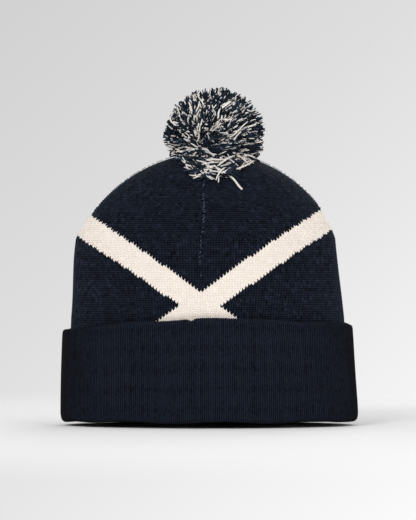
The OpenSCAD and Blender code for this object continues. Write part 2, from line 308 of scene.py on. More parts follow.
navy_thread = yarn_material("navy_thread", *THREAD, 0.05, 0.5, 3000)

# ---------------------------------------------------------------- the cuff's edges

def rim_at(u):
    """Height of the rim: on the floor at the back, and raised and slightly waved in front."""
    front = (1 + np.cos(u)) / 2
    wave = RIM_WAVE * front * np.cos(RIM_WAVES * (u + RIM_WAVE_TURN))
    return RIM_RISE * front - RIM_SAG * np.maximum(np.cos(u), 0) ** 2 - wave


def cuff_top(u):
    """Height of the cuff's top edge: bowed, higher on one side, and slightly waved."""
    wave = 0.5 * np.sin(7 * u + 0.6) + 0.35 * np.sin(13 * u + 2.0)
    tilt = 1.1 * np.sin(u) + 2.4 * np.maximum(np.sin(u), 0) ** 2
    return CUFF_Z + CUFF_BOW * np.cos(u) ** 2 + tilt + wave


# ---------------------------------------------------------------- the knitted body

WALES = 56           # stitches across one gore
STITCH_W = 2.4       # width of a stitch
COURSE = 1.7         # height of a stitch
ACROSS, ALONG = 6, 4  # mesh steps in a stitch outside
INSIDE_STEPS = 2      # mesh steps in a stitch inside
CROWN_ROWS = (TIP_ANGLE - SHOULDER_ANGLE) * CROWN_R / COURSE
FIRST_ROW = -math.floor((SHOULDER_Z - JOIN_Z) / COURSE)
RELIEF = 0.62        # from the bottom of a stitch to its top
LEG_SLANT = 0.85     # how far a stitch's legs climb, in courses
RELIEF_LOSS = 0.6    # share of the relief that is lost towards the tip
CENTRE_GROOVE, DART_GROOVE, GROOVE_W = 0.75, 0.35, 1.3  # where the seams draw the knit in
CREASE, CREASE_W = 1.2, 3.0  # where the body goes in behind the cuff's top edge
MID_LEVEL = 0.57     # place in the relief that has the stitch's own tone; lower places get painted shade and higher ones painted highlight
STITCH_SPREAD, COURSE_SPREAD = 0.2, 0.05  # how far stitches and courses differ in tone
ODD_STITCHES, ODD_TONE = 0.1, 0.7         # share of lighter stitches, and how much lighter
CROWN, CROSS, SIDE_FIELD, LOWER_FIELD = range(4)


def leg_share(x):
    """How far a place is from the middle of its stitch, where the two legs meet, from 0 to 1."""
    return np.abs(2 * np.mod(x, 1) - 1)


def stitch_height(x, y):
    """Relief of a stocking-stitch fabric, from 0 in its grooves to 1. y is counted along the legs."""
    leg = leg_share(x)
    across = np.clip(1 - (2 * leg - 1) ** 2, 0, 1) ** 0.5
    along = np.abs(np.sin(math.pi * y))
    return across * (0.25 + 0.75 * along**0.7)


def gore_place(wale, row):
    """Direction and outline length of a stitch of gore 0, wales counted from its middle.

    The courses are level. Towards the tip, stitches are lost at the seams. The last two values are
    the stitch's own direction before that, and the seam's.
    """
    s = np.minimum(SHOULDER_Z + row * COURSE, SHOULDER_Z + (CROWN_ROWS - 0.02) * COURSE)
    widest = np.where(row > 0, half_w(s) / (SHOULDER_W / 2), 1) * (math.pi / 4)
    w = np.clip(wale / WALES * (math.pi / 2), -widest, widest)
    return w / widest * (math.pi / 4), s, w, widest


def zone(u, s):
    """Which part of the pattern a place is in."""
    z = height_at(s)
    run = np.abs(half_w(s) * (np.sin(u) - math.sin(SEAM_TURN)))
    arm = z - (CROSS_Z + ARM_SLOPE * run)
    leg = z - (CROSS_Z - ARM_SLOPE * run)
    cream = (np.abs(arm) <= ARM_H / 2) | (np.abs(leg) <= ARM_H / 2)
    navy = np.where(arm > 0, CROWN, np.where(leg < 0, LOWER_FIELD, SIDE_FIELD))
    return np.where(cream, CROSS, navy)


def gore(index, across, along, depth, height_of, relief, slant, painted_relief_shade):
    """Grid of one gore: points, quads, the zone of each quad's stitch, tones and UV places."""
    wales = np.arange(WALES * across + 1) / across - WALES / 2
    top = math.floor(CROWN_ROWS)
    rows = np.arange((top - FIRST_ROW) * along + 1) / along + FIRST_ROW
    grid_w, grid_r = np.meshgrid(wales, rows)
    inside = (grid_r > FIRST_ROW) & (grid_r < top)
    climb = np.where(inside, slant * (leg_share(grid_w) - 0.5), 0)
    turn, s, w, widest = gore_place(grid_w, grid_r + climb)
    t = (index + 0.5) / 4 + turn / (2 * math.pi)
    u = turn_of(t)
    real_w = w / (math.pi / 2) * WALES
    level = height_of(real_w + WALES, grid_r)
    from_seam = (widest - np.abs(w)) / (math.pi / 2) * WALES * STITCH_W
    centre_seam = turn * (1 if index % 2 else -1) > 0
    groove = np.where(centre_seam, CENTRE_GROOVE, DART_GROOVE) * np.exp(-((from_seam / GROOVE_W) ** 2))
    from_crease = s - cuff_top(u) + 1.5
    groove = groove + CREASE * np.cos(u) ** 2 * np.exp(-((from_crease / CREASE_W) ** 2))
    kept = 1 - RELIEF_LOSS * np.clip((s - 175) / 50, 0, 1)
    points = soften(on_body(u, s, depth - level * relief * kept + groove))
    n = len(wales)
    free = np.abs(grid_w / WALES * (math.pi / 2)) < np.abs(w) + 1e-9
    first = np.maximum(np.argmax(free, axis=1) - 1, 0)
    last = n - 1 - np.maximum(np.argmax(free[:, ::-1], axis=1) - 1, 0)
    col = np.clip(np.arange(n)[None, :], first[:, None], last[:, None])
    ids = np.arange(len(rows))[:, None] * n + col
    a, b, c, d = ids[:-1, :-1], ids[:-1, 1:], ids[1:, 1:], ids[1:, :-1]
    quads = np.stack([a, b, c, d], axis=-1)
    cell_w = np.floor(wales[:-1] + 1e-6) + 0.5
    cell_r = np.floor(rows[:-1] + 1e-6) + 0.5
    cw, cr = np.meshgrid(cell_w, cell_r)
    cturn, cs, _, _ = gore_place(cw, cr)
    cu = turn_of((index + 0.5) / 4 + cturn / (2 * math.pi))
    zones = zone(cu, cs)
    rng = np.random.default_rng(100 + index)
    tones = rng.normal(0, STITCH_SPREAD, size=(int(rows[-1] - rows[0]) + 2, WALES + 2))
    tones += rng.normal(0, COURSE_SPREAD, size=(len(tones), 1))
    tones += ODD_TONE * (rng.uniform(size=tones.shape) < ODD_STITCHES)
    row_id = np.floor(grid_r - FIRST_ROW + 1e-6).astype(int)
    wale_id = np.floor(grid_w + WALES / 2 + 1e-6).astype(int)
    # Each stitch's random tone, plus painted shade in the grooves and painted highlight on the crests of the
    # relief
    tone = tones[row_id, wale_id] + painted_relief_shade * (level - MID_LEVEL)
    uv = np.stack([real_w / 10, grid_r / 10], axis=-1)
    return points.reshape(-1, 3), quads, zones, tone.ravel(), uv.reshape(-1, 2)


def split(quads):
    """Quads with a repeated corner become triangles, and those without area go."""
    q = quads.reshape(-1, 4)
    same_low, same_high = q[:, 0] == q[:, 1], q[:, 2] == q[:, 3]
    full = q[~same_low & ~same_high]
    tri_low = q[same_low & ~same_high][:, [0, 2, 3]]
    tri_high = q[~same_low & same_high][:, [0, 1, 2]]
    return full, np.concatenate([tri_low, tri_high])


def purl_height(x, y):
    """Relief of the fabric's inside: a row of bumps for each course."""
    return 0.5 + 0.5 * np.cos(2 * math.pi * (y + 0.12 * np.cos(2 * math.pi * x)))


# The last argument is how much painted shade and painted highlight follow the relief, outside and inside
outer = [gore(i, ACROSS, ALONG, 0.5, stitch_height, RELIEF, LEG_SLANT, 2.2) for i in range(4)]
inner = [
    gore(i, INSIDE_STEPS, INSIDE_STEPS, KNIT_T - 0.4, purl_height, -0.35, 0, 0.6) for i in range(4)
]


def knit_piece(name, zone_id, gores, slot, material):
    """The stitches of some gores that lie in a zone, outside and inside."""
    verts, quads, tris, uvs, tones, base = [], [], [], [], [], 0
    for layer, flip in ((outer, False), (inner, True)):
        for i in gores:
            points, q, zones, tone, uv = layer[i]
            keep = zones == zone_id
            if not keep.any():
                continue
            full, tri = split(q[keep])
            if flip:
                full, tri = full[:, ::-1], tri[:, ::-1]
            verts.append(points)
            quads.append(full + base)
            tris.append(tri + base)
            uvs.append(uv)
            tones.append(tone)
            base += len(points)
    o = build(name, *[np.concatenate(part) for part in (verts, quads, tris, uvs, tones)])
    return place(o, "hat", slot, name, material=material)


# The gores are counted from the front right one, by way of the right side and the back
FRONT, BACK, RIGHT, LEFT = [0, 3], [1, 2], [0, 1], [2, 3]
for i, corner in enumerate(("front_right", "back_right", "back_left", "front_left")):
    knit_piece("crown_" + corner, CROWN, [i], "navy_knit", navy_knit)
knit_piece("cross_front", CROSS, FRONT, "cream_knit", cream_knit)
knit_piece("cross_back", CROSS, BACK, "cream_knit", cream_knit)
knit_piece("side_field_right", SIDE_FIELD, RIGHT, "navy_knit", navy_knit)
knit_piece("side_field_left", SIDE_FIELD, LEFT, "navy_knit", navy_knit)
knit_piece("lower_field_front", LOWER_FIELD, FRONT, "navy_knit", navy_knit)
knit_piece("lower_field_back", LOWER_FIELD, BACK, "navy_knit", navy_knit)

# ---------------------------------------------------------------- the rib cuff

RIBS = 372
RIB_STEPS = 4        # mesh steps in a rib
SECTION_STEP = 16    # one section in this many mesh steps is worked out, the rest are between them
RIB_STITCH = 1.6     # height of a stitch in the rib
CUFF_SEAM_U = 2.4 * SEAM_TURN + 2 * math.pi
NOTCH, NOTCH_TURN = 1.5, 0.02  # depth and half width of the dip in the top edge, at the cuff's seam


def cuff_t(f):
    """Thickness of the turned-up band at share f of its height."""
    return mix(CUFF_FOOT_W / 2 - half_w(np.array(0.0)), CUFF_W / 2 - half_w(np.array(CUFF_Z)), f) - SLIT


def resample(path, count):
    """Points spaced evenly along a smooth curve through path."""
    t = np.arange(len(path))
    fine_t = np.linspace(0, len(path) - 1, 40 * len(path))
    dense = np.stack([np.interp(fine_t, t, path[:, k]) for k in range(path.shape[1])], axis=-1)
    kernel = np.hanning(41)
    kernel /= kernel.sum()
    padded = np.concatenate([np.repeat(dense[:1], 20, axis=0), dense, np.repeat(dense[-1:], 20, axis=0)])
    smooth = np.stack([np.convolve(padded[:, k], kernel, "valid") for k in range(path.shape[1])], axis=-1)
    smooth[0], smooth[-1] = dense[0], dense[-1]
    length = np.concatenate([[0], np.cumsum(np.linalg.norm(np.diff(smooth, axis=0), axis=1))])
    at = np.linspace(0, length[-1], count)
    return np.stack([np.interp(at, length, smooth[:, k]) for k in range(path.shape[1])], axis=-1), at


def rib_band(name, section, rows, relief, notch, *nodes):
    """A band of rib round the hat. section(u) gives depth and height along the band at direction u."""
    cols = RIBS * RIB_STEPS
    t = np.arange(cols) / cols
    u = turn_of(t)
    path = [resample(np.array(section(v)), rows) for v in u[::SECTION_STEP]]
    coarse = np.stack([p for p, _ in path])
    coarse = np.concatenate([coarse, coarse[:1]])
    at = np.arange(cols) / SECTION_STEP
    lo = np.floor(at).astype(int)
    f = (at - lo)[:, None, None]
    prof = coarse[lo] * (1 - f) + coarse[lo + 1] * f
    length = path[0][1]
    rib = np.arange(cols) / RIB_STEPS
    ridge = np.abs(np.sin(math.pi * rib))[:, None] ** 0.7
    beads = 0.82 + 0.18 * np.abs(np.sin(math.pi * length / RIB_STITCH))[None, :]
    d = np.gradient(prof, axis=1)
    n = np.stack([d[..., 1], -d[..., 0]], axis=-1)
    n /= np.maximum(np.linalg.norm(n, axis=-1, keepdims=True), 1e-9)
    prof = prof + n * (ridge * beads * relief)[..., None]
    points = soften(on_body(u[:, None], prof[..., 1], prof[..., 0]))
    i, j = np.meshgrid(np.arange(cols), np.arange(rows - 1), indexing="ij")
    nxt = (i + 1) % cols
    quads = np.stack([i * rows + j, i * rows + j + 1, nxt * rows + j + 1, nxt * rows + j], axis=-1)
    rng = np.random.default_rng(7)
    tones = rng.normal(0, 0.11, size=(RIBS, rows)) + rng.normal(0, 0.05, size=(RIBS, 1))
    # Random tone by rib and row, plus painted highlight on the ridges and beads and painted shade between
    # them
    tone = np.repeat(tones, RIB_STEPS, axis=0) + 1.3 * (ridge * beads - 0.5)
    high = np.clip((prof[..., 1] - 50) / 20, 0, 1)
    near = high * np.exp(-(((u[:, None] - CUFF_SEAM_U) / NOTCH_TURN) ** 2))
    points[..., 2] -= notch * near
    uv = np.stack(np.broadcast_arrays(rib[:, None] / 10, length[None, :] / 16), axis=-1)
    o = build(name, points.reshape(-1, 3), quads.reshape(-1, 4), uv=uv.reshape(-1, 2), tone=tone.ravel())
    return place(o, "hat", "navy_rib", *nodes, material=navy_rib)


def cuff_outside(u):
    """The turned-up layer: under the rim, up the outside, over the top edge and down behind it."""
    z0, z1 = rim_at(u), cuff_top(u)
    t0, t1, tm = cuff_t(0), cuff_t(1), cuff_t(0.5)
    return [
        [0.9, z0 - 0.2], [-0.6, z0 - 0.75], [-t0 * 0.55, z0 - 0.65], [-t0 * 0.9, z0 + 1.1],
        [-SLIT - t0, z0 + 5.5], [-SLIT - mix(t0, tm, 0.5) - 0.15, mix(z0, z1, 0.28)],
        [-SLIT - tm - 0.2, mix(z0, z1, 0.5)], [-SLIT - mix(tm, t1, 0.5) - 0.1, mix(z0, z1, 0.75)],
        [-SLIT - t1, z1 - 4], [-SLIT - t1 * 0.92, z1 - 1.3], [-SLIT - t1 * 0.5, z1 - 0.2],
        [-SLIT - t1 * 0.15, z1 - 1.3], [-SLIT - 0.3, z1 - 4], [-SLIT - 0.3, z1 - 9],
    ]


def cuff_inside(u):
    """The layer inside, from the join with the body down to the rim."""
    z0 = rim_at(u)
    return [
        [KNIT_T, JOIN_Z + 0.2], [KNIT_T, 45], [KNIT_T, 25],
        [KNIT_T, z0 + 6], [KNIT_T - 0.7, z0 + 1.2], [0.9, z0 - 0.2],
    ]


rib_band("rib_cuff", cuff_outside, 66, 0.6, NOTCH, "rib_cuff")
rib_band("rib_cuff_inner", cuff_inside, 36, 0.55, 0.0)

# ---------------------------------------------------------------- pompom yarn

def tubes(name, paths, radii, sides, tones, taper=None):
    """Tubes of yarn along paths (strand, point, xyz), with one radius for each strand."""
    count, n = paths.shape[:2]
    tangent = np.gradient(paths, axis=1)
    tangent /= np.maximum(np.linalg.norm(tangent, axis=-1, keepdims=True), 1e-9)
    ref = np.zeros_like(tangent)
    flat = np.abs(tangent[:, :1, 2]) > 0.8
    ref[..., 0] = np.where(flat, 1, 0)
    ref[..., 2] = np.where(flat, 0, 1)
    a = np.cross(tangent, ref)
    a /= np.maximum(np.linalg.norm(a, axis=-1, keepdims=True), 1e-9)
    b = np.cross(tangent, a)
    turn = np.arange(sides) / sides * 2 * math.pi
    r = radii[:, None] * (np.ones(n) if taper is None else taper)[None, :]
    turn = turn[None, None, :, None]
    ring = a[:, :, None, :] * np.cos(turn) + b[:, :, None, :] * np.sin(turn)
    verts = paths[:, :, None, :] + ring * r[:, :, None, None]
    ids = np.arange(count * n * sides).reshape(count, n, sides)
    nxt = np.roll(ids, -1, axis=2)
    quads = np.stack([ids[:, :-1], nxt[:, :-1], nxt[:, 1:], ids[:, 1:]], axis=-1).reshape(-1, 4)
    verts = verts.reshape(-1, 3)
    # Rounded ends
    before = paths[:, :1] - tangent[:, :1] * r[:, :1, None] * 0.5
    after = paths[:, -1:] + tangent[:, -1:] * r[:, -1:, None] * 0.5
    ends = np.concatenate([before, after], axis=1)
    base = len(verts)
    verts = np.concatenate([verts, ends.reshape(-1, 3)])
    start = base + 2 * np.arange(count)[:, None]
    first_end = np.broadcast_to(start, (count, sides))
    tri_a = np.stack([nxt[:, 0], ids[:, 0], first_end], axis=-1).reshape(-1, 3)
    tri_b = np.stack([ids[:, -1], nxt[:, -1], first_end + 1], axis=-1).reshape(-1, 3)
    steps = np.linalg.norm(np.diff(paths, axis=1), axis=-1)
    length = np.concatenate([np.zeros((count, 1)), np.cumsum(steps, axis=1)], axis=1)
    # The texture's first axis goes round the tube and back, so it has no seam
    round_share = np.broadcast_to(np.abs(np.arange(sides) - sides / 2) / sides, (count, n, sides))
    along_share = np.broadcast_to(length[:, :, None] / 3.0, (count, n, sides))
    uv = np.stack([round_share, along_share], axis=-1)
    uv = np.concatenate([uv.reshape(-1, 2), np.zeros((2 * count, 2))])
    tone = np.concatenate([np.repeat(tones, n * sides), np.repeat(tones, 2)])
    return build(name, verts, quads, np.concatenate([tri_a, tri_b]), uv=uv, tone=tone)


def crown_lift(p, gap):
    """Raises points that are lower than gap over the crown's surface, found there by halving."""
    x, y, z = p[..., 0] - CROWN_LEAN, p[..., 1], p[..., 2]
    low, high = np.full_like(z, SHOULDER_Z), np.full_like(z, CROWN_TOP)
    for _ in range(18):
        mid = (low + high) / 2
        level = np.clip((mid - CROWN_Z) / CROWN_R, 0, 0.99999)
        a = CROWN_R * np.sqrt(1 - level**2)
        b = SHOULDER_W / 2 * DEPTH_SHARE * closing(mid)
        inside = (x / np.maximum(a, 1e-6)) ** 2 + (y / np.maximum(b, 1e-6)) ** 2 < 1
        low, high = np.where(inside, mid, low), np.where(inside, high, mid)
    q = p.copy()
    q[..., 2] = np.maximum(z, (low + high) / 2 + gap)
    return q


STRAND_POINTS = 9
STRAND_R = (0.5, 0.74)  # the thinnest and the thickest strand
BALL_SHAPE = np.array([36.9, 36.0, 34.2])  # the pompom's half width, depth and height
FRINGE_Z = 184.0     # lowest place of the yarn on the front of the crown
TIP_MAX = math.radians(12)  # each way, as the CAD's nod and sway
SWEEP_R = CROWN_R + 2.0
SWEEP_TURN = math.acos(math.cos(TIP_MAX) ** 2)


def underside(r):
    """Height over the pivot that the pompom keeps clear below it, so that it can tip, at radius r."""
    wide = (CROWN_R + 1) * math.sin(SWEEP_TURN)
    q = np.minimum(r, wide)
    return np.sqrt(SWEEP_R**2 - (wide - q) ** 2) - (CROWN_R + 1) * math.cos(SWEEP_TURN)


def crown_height(x, y):
    """Height of the crown's surface over the place x, y."""
    p = np.stack(np.broadcast_arrays(x, y, 150.0 + 0 * x), axis=-1)
    return crown_lift(p, 0.0)[..., 2]


def unit(v):
    """The same directions with length 1."""
    return v / np.maximum(np.linalg.norm(v, axis=-1, keepdims=True), 1e-9)


def directions(u, a):
    """Directions with upward part u, at angle a round the vertical."""
    return np.stack([np.sqrt(1 - u**2) * np.cos(a), np.sqrt(1 - u**2) * np.sin(a), u], axis=-1)


def wander(path, rng, bow, wave):
    """Bends each strand by a share bow of its length, with a small wave along it."""
    count, n = path.shape[:2]
    f = np.linspace(0, 1, n)[None, :, None]
    chord = path[:, -1] - path[:, 0]
    long = np.linalg.norm(chord, axis=-1)[:, None, None]
    side = unit(np.cross(chord, rng.normal(size=(count, 3))))
    other = unit(np.cross(chord, side))
    phase = rng.uniform(0, 6.3, (count, 1, 1))
    path = path + side[:, None] * rng.normal(0, bow, (count, 1, 1)) * long * np.sin(math.pi * f)
    return path + other[:, None] * rng.normal(0, wave, (count, 1, 1)) * np.sin(5.5 * f + phase) * f


def swirl(p, size, seed):
    """A smooth field of directions, which bends neighbouring strands the same way."""
    rng = np.random.default_rng(seed)
    total = np.zeros_like(p)
    for _ in range(6):
        k = unit(rng.normal(size=3)) / size * rng.uniform(0.7, 1.5)
        heading = unit(rng.normal(size=3))
        total += heading * np.sin(p @ k * 2 * math.pi + rng.uniform(0, 6.3))[..., None]
    return total / 2.4


def cream_patch(p, size, seed):
    """A smooth value from about -1 to 1, for the places where one colour of yarn gathers."""
    rng = np.random.default_rng(seed)
    total = 0
    for _ in range(8):
        k = unit(rng.normal(size=3)) / size * rng.uniform(0.6, 1.6)
        total = total + np.sin(p @ k * 2 * math.pi + rng.uniform(0, 6.3))
    return total / 4


def ball_point(d, radius):
    """The place in direction d from the ball's centre, at a share of the ball's radius."""
    return BALL_C + d * np.asarray(radius)[..., None] * BALL_SHAPE


def core_strands(count, rng):
    """Strands from the bound waist to the ball's surface."""
    d = directions(rng.uniform(-0.35, 1, count), rng.uniform(0, 2 * math.pi, count))
    tip = ball_point(d, rng.uniform(0.9, 1.03, count))
    start = WAIST_C + rng.normal(0, 1.8, (count, 3))
    f = np.linspace(0.08, 1, STRAND_POINTS)[None, :, None]
    path = wander(start[:, None] + (tip - start)[:, None] * f, rng, 0.08, 0.6)
    return path + swirl(path, 26, 5) * 1.6 * f**2


def combed_strands(count, rng):
    """The outer strands, which lie over the ball, away from where they are bound at its front foot."""
    foot = unit(np.array([-12.0, -30.0, -13.0]))
    away = rng.uniform(0, 2 * math.pi, count)
    reach = np.arccos(rng.uniform(-0.12, 0.94, count))
    a = unit(np.cross(foot, [0.0, 0.0, 1.0]))
    b = np.cross(foot, a)
    long = rng.uniform(0.24, 0.72, count)
    f = np.linspace(0, 1, STRAND_POINTS)[None, :]
    angle = np.maximum(reach[:, None] - long[:, None] * (1 - f), 0.07 + 0.02 * f)
    spread = rng.normal(0, 0.16, (count, 1)) / np.maximum(np.sin(reach[:, None]), 0.4)
    turn = away[:, None] + spread * (f - 0.5)
    heading = a * np.cos(turn)[..., None] + b * np.sin(turn)[..., None]
    layer = rng.uniform(0, 1, count)[:, None] ** 0.8
    radius = 0.74 + 0.13 * layer + 0.04 * f + 0.11 * f**4
    d = foot * np.cos(angle)[..., None] + heading * np.sin(angle)[..., None]
    path = wander(ball_point(d, radius), rng, 0.12, 0.75)
    return path + swirl(path, 30, 8) * 2.6 + swirl(path, 13, 9) * 0.7


def filler_strands(count, rng):
    """Strands between the crown and the ball's underside. They end at the ball's surface."""
    a = rng.uniform(0, 2 * math.pi, count)
    level = rng.uniform(0.0, 1.0, count)
    f = np.linspace(0.12, 1, STRAND_POINTS)[None, :]
    far = BALL_R * rng.uniform(0.76, 0.93, count)
    turn = a[:, None] + rng.normal(0, 0.35, (count, 1)) * f**2
    x = mix(PIVOT[0], BALL_C[0] + far[:, None] * np.cos(turn), f)
    y = mix(PIVOT[1], BALL_C[1] + far[:, None] * np.sin(turn), f)
    floor_z = crown_height(x, y) + 1.0
    roof_z = PIVOT[2] + underside(np.hypot(x - PIVOT[0], y - PIVOT[1])) + 1.5
    z = mix(floor_z, roof_z, level[:, None] * (0.5 + 0.5 * f))
    path = wander(np.stack([x, y, z], axis=-1), rng, 0.07, 0.6)
    path[..., 2] = np.maximum(path[..., 2], crown_height(path[..., 0], path[..., 1]) + 0.9)
    return path


def front_y(x, z):
    """Where the front of the crown is, at x and height z."""
    high = np.clip((z - CROWN_Z) / CROWN_R, 0, 0.99999)
    a = CROWN_R * np.sqrt(1 - high**2)
    b = SHOULDER_W / 2 * DEPTH_SHARE * closing(np.minimum(z, CROWN_TOP - 0.001))
    return -b * np.sqrt(np.maximum(1 - ((x - CROWN_LEAN) / a) ** 2, 0.01))


def fringe_strands(count, rng):
    """Bent strands that lie on the front of the crown, across the ball's lower edge."""
    off = rng.triangular(-27, 0, 27, count)
    low_z = FRINGE_Z + 11.0 * (off / 27) ** 2
    mid_z = low_z + 1.0 + 13.0 * rng.uniform(0, 1, count) ** 1.2
    lean = np.arctan(22.0 * off / 27**2) + rng.normal(0, 0.42, count)
    half = rng.uniform(4.5, 9.5, count)
    f = np.linspace(-1, 1, STRAND_POINTS)[None, :]
    bow = rng.uniform(-0.6, 2.6, count)[:, None]
    x = BALL_C[0] + off[:, None] + half[:, None] * f * np.cos(lean)[:, None]
    z = mid_z[:, None] + half[:, None] * f * np.sin(lean)[:, None] + bow * (f**2 - 0.4)
    z = np.minimum(z, CROWN_TOP - 3)
    out = rng.uniform(0.9, 5.2, count)[:, None] * (1.05 - 0.35 * f**2)
    y = front_y(x, z) - out * 0.8
    return wander(np.stack([x, y, z + out * 0.4], axis=-1), rng, 0.05, 0.5)


def lying_strands(count, rng):
    """Strands that bend down all round, and lie on the crown."""
    a = rng.uniform(-math.pi, math.pi, count)
    front = np.clip(np.cos(a), 0, 1) ** 2
    reach = mix(29.0, 43.0, front) * rng.uniform(0.78, 1.0, count)
    f = np.linspace(0.45, 1, STRAND_POINTS)[None, :]
    swing = rng.normal(0, 0.55, count)[:, None] * (f - 0.45)
    x = BALL_C[0] + reach[:, None] * f * np.sin(a[:, None] + swing)
    y = -2 - reach[:, None] * f * np.cos(a[:, None] + swing)
    layer = rng.uniform(0.8, 4.0, count)[:, None] * (1.1 - 0.5 * f)
    hump = rng.uniform(0.0, 2.6, count)[:, None] * np.sin(math.pi * f)
    path = np.stack([x, y, crown_height(x, y) + layer + hump], axis=-1)
    path = wander(path, rng, 0.08, 0.5)
    path[..., 2] = np.maximum(path[..., 2], crown_height(path[..., 0], path[..., 1]) + 0.8)
    return path


TAPER = np.array([0.75, 0.95, 1, 1, 1, 1, 1, 0.93, 0.7])  # of the radius, at a strand's points


def yarn_group(groups, rng, name, body, nodes):
    """Tubes for some strands: one piece of navy yarn and one of cream. A group is (paths, cream share)."""
    paths = np.concatenate([g for g, _ in groups])
    share = np.concatenate([np.full(len(g), c) for g, c in groups])
    gather = cream_patch(paths[:, -3], 9.0, 21)
    pick = rng.uniform(size=len(paths)) < share * (1 + 1.2 * gather)
    radii = rng.uniform(*STRAND_R, len(paths))
    tones = rng.normal(0.0, 0.2, len(paths))
    for colour, chosen, material, replaced in (
        ("navy", ~pick, navy_yarn, nodes[0]),
        ("cream", pick, cream_yarn, nodes[1]),
    ):
        o = tubes(name % colour, paths[chosen], radii[chosen], 5, tones[chosen], TAPER)
        place(o, body, colour + "_yarn", *replaced, material=material)


def keep_clear(paths):
    """Keeps the pompom's strands over the space that the crown sweeps as the pompom tips."""
    r = np.hypot(paths[..., 0] - PIVOT[0], paths[..., 1] - PIVOT[1])
    low = PIVOT[2] + underside(r) + 0.4
    q = paths.copy()
    q[..., 2] = np.where(q[..., 2] < low, low + 0.15 * (q[..., 2] - low), q[..., 2])
    return q


def rim_share(paths, low, high):
    """Share of cream: low on the ball's sides, where the winding was navy, and high at its front and back."""
    return mix(low, high, np.clip(np.abs(paths[:, -1, 1] - BALL_C[1]) / BALL_R, 0, 1))


CORE, COMBED, FILLER, LYING, FRINGE = 1900, 1250, 800, 260, 260  # strands of each kind
rng = np.random.default_rng(11)
combed = combed_strands(COMBED, rng)
far = np.hypot(combed[..., 0] - PIVOT[0], combed[..., 1])
over = (combed[..., 2] > PIVOT[2] + underside(far) - 1.5).all(axis=1)
core = core_strands(CORE, rng)
combed_ball = combed[over]
ball = [
    (keep_clear(core), rim_share(core, 0.09, 0.31)),
    (keep_clear(combed_ball), rim_share(combed_ball, 0.17, 0.4)),
]
ball_nodes = (("pompom_navy_yarn", "pompom_waist"), ("pompom_cream_yarn",))
yarn_group(ball, rng, "pompom_%s_yarn", "pompom", ball_nodes)
under = combed[~over]
under[..., 2] = np.maximum(under[..., 2], crown_height(under[..., 0], under[..., 1]) + 0.9)
low_groups = [
    (filler_strands(FILLER, rng), 0.3),
    (lying_strands(LYING, rng), 0.45),
    (under, 0.4),
    (fringe_strands(FRINGE, rng), 0.4),
]
yarn_group(low_groups, rng, "pompom_%s_skirt", "hat", (("pompom_skirt_yarn",), ()))

# ---------------------------------------------------------------- thread, tie, button and label


def curve_tube(name, points, radius, body, slot, material, sides=8):
    """One tube along a line of points, which stands for the CAD node of its name."""
    o = tubes(name, np.asarray(points)[None], np.array([radius]), sides, np.zeros(1))
    return place(o, body, slot, name, material=material)


# The loose end, on the front of the crown
n = 16
f = np.linspace(0, 1, n)
x = mix(13, 26.6, f) + 0.9 * np.sin(f * 5.0)
z = mix(187, 175.5, f**1.25)
tail = np.stack([x, front_y(x, z) - 0.9, z + 0.5], axis=-1)
curve_tube("tie_tail", tail, 0.78, "hat", "cream_yarn", cream_yarn)


def seam_stitches(name, turn, s_low, s_high):
    """A seam's slanted stitches, which don't show on cream, and its two joined edges inside."""
    count = int((s_high - s_low) / COURSE)
    s_mid = s_low + (np.arange(count) + 0.5) * COURSE
    s_mid = s_mid[zone(np.full(len(s_mid), turn), s_mid) != CROSS]
    f = np.linspace(-1, 1, 5)[None, :]
    rng = np.random.default_rng(len(name))
    s_mid = s_mid[rng.uniform(size=len(s_mid)) < 0.8]
    wiggle = 0.8 * np.sin(s_mid / 11.0) + rng.normal(0, 0.3, len(s_mid))
    du = (0.6 * f + wiggle[:, None]) / np.maximum(half_w(s_mid), 6)[:, None]
    paths = soften(on_body(turn + du, s_mid[:, None] + 0.62 * f, -0.05 - 0.45 * np.cos(f * 1.2)))
    outside = (paths, np.full(len(paths), 0.23), rng.normal(0.5, 0.45, len(paths)))
    n = max(int((s_high - s_low) / 0.85), 4)
    s_in = np.linspace(s_low, s_high, n)
    ridges = []
    for side_mm in (-0.75, 0.75):
        du = side_mm / np.maximum(half_w(s_in), 6)
        ridges.append(soften(on_body(turn + du, s_in, np.full(n, KNIT_T + 0.75))))
    return outside, np.array(ridges)


def seam(name, turn, s_low, s_high):
    """The stitches and the joined edges of one seam, each as a piece."""
    outside, ridges = seam_stitches(name, turn, s_low, s_high)
    o = tubes(name, outside[0], outside[1], 6, outside[2])
    place(o, "hat", "navy_thread", name, material=navy_thread)
    n = ridges.shape[1]
    beads = 1 + 0.16 * np.sin(np.arange(n) * math.pi + 0.4)
    o = tubes(name + "_edges", ridges, np.full(2, 0.85), 8, np.zeros(2), beads)
    place(o, "hat", "navy_thread", material=navy_thread)


SEAM_TOP = SHOULDER_Z + CROWN_ROWS * COURSE - 8
DART_LOW = 162.0
seam("front_seam", SEAM_TURN, JOIN_Z + 3, SEAM_TOP)
seam("back_seam", math.pi - SEAM_TURN, SHOULDER_Z - 20, SEAM_TOP)
seam("left_dart_seam", -math.pi / 2, DART_LOW, SEAM_TOP)
seam("right_dart_seam", math.pi / 2, DART_LOW, SEAM_TOP)

# Seam of the rib, down the outside of the cuff
rows = 34
z = np.linspace(0.12, 0.93, rows)
zz = mix(float(rim_at(np.array(CUFF_SEAM_U))), float(cuff_top(np.array(CUFF_SEAM_U))), z)
tt = np.array([float(cuff_t(v)) for v in z])
f = np.linspace(-1, 1, 5)[None, :]
out_by = (-SLIT - tt)[:, None] - 0.42 - 0.22 * np.cos(f * 1.3)
paths = on_body(CUFF_SEAM_U + 0.55 / 108 * f, zz[:, None] + 0.5 * f, out_by)
tones = np.random.default_rng(3).normal(-0.3, 0.1, rows)
o = tubes("cuff_seam", soften(paths), np.full(rows, 0.2), 6, tones)
place(o, "hat", "navy_thread", "cuff_seam", material=navy_thread)

